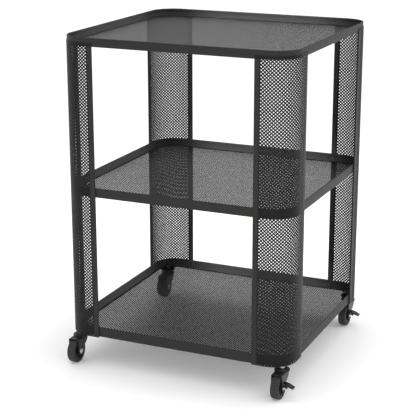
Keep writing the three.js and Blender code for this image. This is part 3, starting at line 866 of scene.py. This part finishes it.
for corner in CORNERS:
    low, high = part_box(f"axle_{corner}")
    middle = (low + high) / 2
    half = (high.x - low.x) / 2
    head = half - AXLE_HEAD_HEIGHT
    dome = [(AXLE_HEAD_RADIUS, head), (AXLE_HEAD_RADIUS, head + AXLE_HEAD_EDGE)]
    for step in range(1, 9):
        angle = math.pi / 2 * step / 8
        dome.append((AXLE_HEAD_RADIUS * math.cos(angle),
                     head + AXLE_HEAD_EDGE + (AXLE_HEAD_HEIGHT - AXLE_HEAD_EDGE) * math.sin(angle)))
    right = [(AXLE_RADIUS, head)] + dome
    left = [(radius, -distance) for radius, distance in reversed(right)]
    form = bmesh.new()
    skin(form, turned(left + right, (middle.x, middle.y, middle.z), "x", 32))
    axle = shown(f"riveted_axle_{corner}", form, zinc_plate)
    fasten(axle, f"caster_{corner}", "zinc", f"axle_{corner}")

# ------------------------------------------------------------------------------ wheel centres
# The wheel's centre is moulded black polypropylene: a rim with a dished web either side, six ribs on
# each face of the web, and a boss that turns on the axle.

HUB_RADIUS = 17.5 * MM
HUB_RIM = 2.5 * MM
HUB_DISH = 3.2 * MM
HUB_BOSS_RADIUS = 5 * MM
HUB_BORE = 2.8 * MM
HUB_FACE = 7.4 * MM
RIB_COUNT = 6
RIB_THICKNESS = 1.3 * MM
RIB_SUNK = 0.5 * MM
RIB_BELOW_FACE = 0.9 * MM
RIB_TAPER = 0.7
PLASTIC_COLOUR = "#0E0E0F"

moulded_plastic = bpy.data.materials.new("moulded_black_polypropylene")
# Polypropylene from a spark-eroded mould has a fine dull grain and a soft satin highlight.
moulded_plastic.use_nodes = True
plastic_tree = moulded_plastic.node_tree
plastic_shader = plastic_tree.nodes["Principled BSDF"]
plastic_shader.inputs["IOR"].default_value = 1.49
plastic_place = add_node(plastic_tree, "ShaderNodeTexCoord").outputs["Object"]
plastic_grain = add_node(plastic_tree, "ShaderNodeTexNoise", inputs={
    "Vector": plastic_place, "Scale": 1 / (0.8 * MM), "Detail": 3})
plastic_tone = add_node(plastic_tree, "ShaderNodeMix", {"data_type": "RGBA"}, {
    0: plastic_grain.outputs["Fac"], 6: shade(PLASTIC_COLOUR, 0.9), 7: shade(PLASTIC_COLOUR, 1.1)})
plastic_tree.links.new(plastic_tone.outputs[2], plastic_shader.inputs["Base Color"])
vary_gloss(plastic_tree, plastic_shader, plastic_grain, 0.4, 0.55)
emboss(plastic_tree, plastic_shader, plastic_grain, 0.2, 0.04 * MM)

for corner in CORNERS:
    low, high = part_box(f"wheel_hub_{corner}")
    middle = (low + high) / 2
    boss = (high.x - low.x) / 2
    dish = HUB_FACE - HUB_DISH
    half = [
        (HUB_BORE, boss, 0.2 * MM), (HUB_BOSS_RADIUS, boss, 0.4 * MM), (HUB_BOSS_RADIUS, dish, 0.6 * MM),
        (HUB_RADIUS - HUB_RIM, dish, 0.8 * MM), (HUB_RADIUS - HUB_RIM, HUB_FACE, 0.5 * MM),
        (HUB_RADIUS, HUB_FACE, 0.4 * MM),
    ]
    other = [(radius, -distance, turn) for radius, distance, turn in half]
    form = bmesh.new()
    skin(form, turned(rounded(other + half[::-1], 3), middle, "x", 48))
    for rib in range(RIB_COUNT):
        angle = 2 * math.pi * rib / RIB_COUNT
        out = Vector((0, math.cos(angle), math.sin(angle)))
        across = Vector((0, -math.sin(angle), math.cos(angle))) * RIB_THICKNESS / 2
        for side in (-1, 1):
            foot = Vector((side * (dish - RIB_SUNK), 0, 0))
            crest = Vector((side * (HUB_FACE - RIB_BELOW_FACE), 0, 0))
            section = [foot - across, foot + across, crest + across * RIB_TAPER, crest - across * RIB_TAPER]
            near = middle + out * (HUB_BOSS_RADIUS - RIB_SUNK)
            far = middle + out * (HUB_RADIUS - HUB_RIM + RIB_SUNK)
            solid_between(form, [near + point for point in section], [far + point for point in section])
    hub = shown(f"wheel_centre_{corner}", form, moulded_plastic, crease=40)
    fasten(hub, f"wheel_{corner}", "black_plastic", f"wheel_hub_{corner}")

# ------------------------------------------------------------------------------ tyres
# The tyre is moulded grey-black rubber with rounded shoulders, pressed on the wheel's centre.

WHEEL_RADIUS = 24.5 * MM
TYRE_INNER = 17.8 * MM
TYRE_SHOULDER = 2.6 * MM
TYRE_CROWN = 0.25 * MM
RUBBER_COLOUR = "#1D1D1D"

tyre_rubber = bpy.data.materials.new("moulded_rubber")
# Rubber is dull and slightly dusty: a broad weak highlight, with lighter scuffed patches on the tread.
tyre_rubber.use_nodes = True
rubber_tree = tyre_rubber.node_tree
rubber_shader = rubber_tree.nodes["Principled BSDF"]
rubber_shader.inputs["IOR"].default_value = 1.52
rubber_place = add_node(rubber_tree, "ShaderNodeTexCoord").outputs["Object"]
rubber_dust = add_node(rubber_tree, "ShaderNodeTexNoise", inputs={
    "Vector": rubber_place, "Scale": 1 / (6 * MM), "Detail": 5, "Roughness": 0.65})
rubber_tone = add_node(rubber_tree, "ShaderNodeMix", {"data_type": "RGBA"}, {
    0: rubber_dust.outputs["Fac"], 6: shade(RUBBER_COLOUR, 0.8), 7: shade(RUBBER_COLOUR, 1.25)})
rubber_tree.links.new(rubber_tone.outputs[2], rubber_shader.inputs["Base Color"])
vary_gloss(rubber_tree, rubber_shader, rubber_dust, 0.55, 0.75)
rubber_grain = add_node(rubber_tree, "ShaderNodeTexNoise", inputs={
    "Vector": rubber_place, "Scale": 1 / (0.7 * MM)})
emboss(rubber_tree, rubber_shader, rubber_grain, 0.3, 0.05 * MM)

for corner in CORNERS:
    low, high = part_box(f"tyre_{corner}")
    middle = (low + high) / 2
    half = (high.x - low.x) / 2
    section = rounded([
        (TYRE_INNER, -half, 0.6 * MM), (WHEEL_RADIUS - TYRE_CROWN, -half, TYRE_SHOULDER),
        (WHEEL_RADIUS, 0, 0), (WHEEL_RADIUS - TYRE_CROWN, half, TYRE_SHOULDER),
        (TYRE_INNER, half, 0.6 * MM),
    ], 6)
    form = bmesh.new()
    skin(form, turned(section, middle, "x", 72))
    tyre = shown(f"rubber_tyre_{corner}", form, tyre_rubber, crease=40)
    fasten(tyre, f"wheel_{corner}", "rubber", f"tyre_{corner}")

# ------------------------------------------------------------------------------ brake pedals
# Two casters have a foot pedal moulded in black plastic: a bent tread with a cheek under each side. It
# turns on a plated pin between the fork's lugs.

PEDAL_SHEET = 1.8 * MM
PEDAL_REACH = 32 * MM
PEDAL_RISE = 2.4 * MM
PEDAL_HEEL = 1.4 * MM
PEDAL_FLAT = 4 * MM
PEDAL_CREST = 0.4 * MM
PEDAL_KNEE = 8 * MM
PEDAL_KNEE_DROP = 2 * MM
PEDAL_TIP_LOW = 1.2 * MM
PEDAL_TIP_HIGH = 2.4 * MM
PEDAL_TIP_SLANT = 0.6 * MM
PIN_RADIUS = 1.2 * MM
PIN_CHAMFER = 0.3 * MM
CHEEK_SHEET = 1.2 * MM
CHEEK_ROUND = 2.1 * MM

for corner in ("front_right", "back_right"):
    low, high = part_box(f"brake_pedal_{corner}")
    pin_low, pin_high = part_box(f"brake_pin_{corner}")
    pin = (pin_low + pin_high) / 2
    axle_low, axle_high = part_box(f"axle_{corner}")
    wheel_x = (axle_low.x + axle_high.x) / 2
    axle_z = (axle_low.z + axle_high.z) / 2
    top = pin.z + PEDAL_RISE
    tip = wheel_x + PEDAL_REACH
    tread = [
        (pin.x - PEDAL_HEEL, top - PEDAL_SHEET), (pin.x + PEDAL_FLAT, top - PEDAL_SHEET),
        (pin.x + PEDAL_KNEE, top - PEDAL_SHEET - PEDAL_KNEE_DROP), (tip, axle_z + PEDAL_TIP_LOW),
        (tip + PEDAL_TIP_SLANT, axle_z + PEDAL_TIP_HIGH),
        (pin.x + PEDAL_KNEE + PEDAL_TIP_SLANT, top - PEDAL_KNEE_DROP + PEDAL_CREST),
        (pin.x + PEDAL_FLAT + PEDAL_CREST, top + PEDAL_CREST), (pin.x - PEDAL_HEEL, top),
    ]
    form = bmesh.new()
    solid_between(form, [(a, low.y, b) for a, b in tread], [(a, high.y, b) for a, b in tread])
    cheek = []
    for step in range(9):
        angle = math.pi * (0.6 + 0.9 * step / 8)
        cheek.append((pin.x + CHEEK_ROUND * math.cos(angle), pin.z + CHEEK_ROUND * math.sin(angle)))
    cheek += [
        (pin.x + 3.6 * MM, pin.z - 4.6 * MM), (pin.x + 5.2 * MM, pin.z - 4.2 * MM),
        (pin.x + 7 * MM, pin.z - 0.4 * MM), (pin.x + 4.2 * MM, pin.z + 1.6 * MM),
    ]
    for start in (low.y, high.y - CHEEK_SHEET):
        solid_between(form, [(a, start, b) for a, b in cheek],
                      [(a, start + CHEEK_SHEET, b) for a, b in cheek])
    pedal = shown(f"foot_pedal_{corner}", form, moulded_plastic, crease=60)
    break_edges(pedal, 0.3 * MM, 30)
    fasten(pedal, f"brake_{corner}", "black_plastic", f"brake_pedal_{corner}")
    half = (pin_high.y - pin_low.y) / 2
    section = [(0, -half), (PIN_RADIUS - PIN_CHAMFER, -half), (PIN_RADIUS, -half + PIN_CHAMFER),
               (PIN_RADIUS, half - PIN_CHAMFER), (PIN_RADIUS - PIN_CHAMFER, half), (0, half)]
    form = bmesh.new()
    skin(form, turned(section, pin, "y", 20))
    pivot_pin = shown(f"pedal_pin_{corner}", form, zinc_plate)
    fasten(pivot_pin, f"caster_{corner}", "zinc", f"brake_pin_{corner}")

# ------------------------------------------------------------------------------ studio
# A plain white floor that runs to the horizon and glows a little, which keeps the cart's shadow light.
# The white room, three soft lights and a broad glow from above are all large and even.

FLOOR_RADIUS = 30
FLOOR_COLOUR = "#FAFAFA"
FLOOR_GLOW = 0.12
ROOM_SEEN = 1.0
ROOM_LIT = 0.84
CEILING_POWER = 0.6
CEILING_BREADTH = math.radians(80)
AIM_HEIGHT = 0.3
WHITE = (1, 1, 1, 1)

floor_form = bmesh.new()
bmesh.ops.create_circle(floor_form, cap_ends=True, segments=64, radius=FLOOR_RADIUS)
floor_mesh = bpy.data.meshes.new("studio_floor")
floor_form.to_mesh(floor_mesh)
floor_form.free()
floor = bpy.data.objects.new("studio_floor", floor_mesh)
bpy.context.scene.collection.objects.link(floor)
floor_paint = bpy.data.materials.new("white_studio_floor")
floor_paint.use_nodes = True
floor_shader = floor_paint.node_tree.nodes["Principled BSDF"]
floor_shader.inputs["Base Color"].default_value = linear(FLOOR_COLOUR)
floor_shader.inputs["Roughness"].default_value = 0.9
floor_shader.inputs["Emission Color"].default_value = WHITE
floor_shader.inputs["Emission Strength"].default_value = FLOOR_GLOW
floor_mesh.materials.append(floor_paint)

room = bpy.data.worlds.new("white_room")
bpy.context.scene.world = room
room.use_nodes = True
room_tree = room.node_tree
room_tree.nodes.clear()
room_seen = add_node(room_tree, "ShaderNodeBackground", inputs={"Color": WHITE, "Strength": ROOM_SEEN})
room_lit = add_node(room_tree, "ShaderNodeBackground", inputs={"Color": WHITE, "Strength": ROOM_LIT})
room_ray = add_node(room_tree, "ShaderNodeLightPath")
room_mix = add_node(room_tree, "ShaderNodeMixShader", inputs={
    0: room_ray.outputs["Is Camera Ray"], 1: room_lit.outputs[0], 2: room_seen.outputs[0]})
add_node(room_tree, "ShaderNodeOutputWorld", inputs={"Surface": room_mix.outputs[0]})

for name, place, size, power in (
    ("overhead_softbox", (0.0, 0.0, 1.45), 0.45, 7),
    ("right_softbox", (2.6, 0.6, 1.6), 1.6, 14),
    ("front_softbox", (0.6, -3.2, 0.9), 1.8, 10),
):
    lamp = bpy.data.lights.new(name, "AREA")
    lamp.size = size
    lamp.energy = power
    holder = bpy.data.objects.new(name, lamp)
    holder.location = place
    holder.visible_camera = False
    aim = Vector((MIDDLE_X, MIDDLE_Y, AIM_HEIGHT)) - Vector(place)
    holder.rotation_euler = aim.to_track_quat("-Z", "Y").to_euler()
    bpy.context.scene.collection.objects.link(holder)

# Narrow strips between the columns' free edges keep the trays' far and left rims from falling black.
STRIP_LENGTH = 0.3
STRIP_WIDTH = 0.02
STRIP_SPREAD = math.radians(20)
STRIP_POWER = 0.12
STRIP_TILT = math.radians(86)

for tray in ("bottom", "middle", "top"):
    rim_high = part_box(f"tray_rim_{tray}")[1]
    for towards, place, turn in (
        ("back", (MIDDLE_X, MIDDLE_Y - HALF_DEPTH + STRIP_WIDTH), 0),
        ("left", (MIDDLE_X + HALF_WIDTH - STRIP_WIDTH, MIDDLE_Y), math.pi / 2),
    ):
        strip = bpy.data.lights.new(f"strip_{tray}_{towards}", "AREA")
        strip.shape = "RECTANGLE"
        strip.size = STRIP_LENGTH
        strip.size_y = STRIP_WIDTH
        strip.spread = STRIP_SPREAD
        strip.energy = STRIP_POWER
        holder = bpy.data.objects.new(strip.name, strip)
        holder.location = (*place, rim_high.z + STRIP_WIDTH)
        holder.rotation_euler = (STRIP_TILT, 0, turn)
        holder.visible_camera = False
        bpy.context.scene.collection.objects.link(holder)

ceiling = bpy.data.lights.new("ceiling_glow", "SUN")
ceiling.energy = CEILING_POWER
ceiling.angle = CEILING_BREADTH
ceiling_holder = bpy.data.objects.new("ceiling_glow", ceiling)
bpy.context.scene.collection.objects.link(ceiling_holder)

bpy.context.scene.view_settings.view_transform = "Standard"

# ------------------------------------------------------------------------------ camera
# A long lens, a little above the cart and to its right, looking down at it.

LENS = 107.34
SENSOR_WIDTH = 36
FAR_CLIP = 100
CAMERA_TURN = math.radians(23.81)
CAMERA_PITCH = math.radians(16.46)
CAMERA_PLACE = (973.6 * MM, -2265.7 * MM, 1019.8 * MM)

camera_data = bpy.data.cameras.new("camera")
camera_data.lens = LENS
camera_data.sensor_width = SENSOR_WIDTH
camera_data.clip_end = FAR_CLIP
camera = bpy.data.objects.new("camera", camera_data)
camera.location = (MIDDLE_X + CAMERA_PLACE[0], MIDDLE_Y + CAMERA_PLACE[1], CAMERA_PLACE[2])
camera.rotation_euler = (math.pi / 2 - CAMERA_PITCH, 0, CAMERA_TURN)
bpy.context.scene.collection.objects.link(camera)
bpy.context.scene.camera = camera
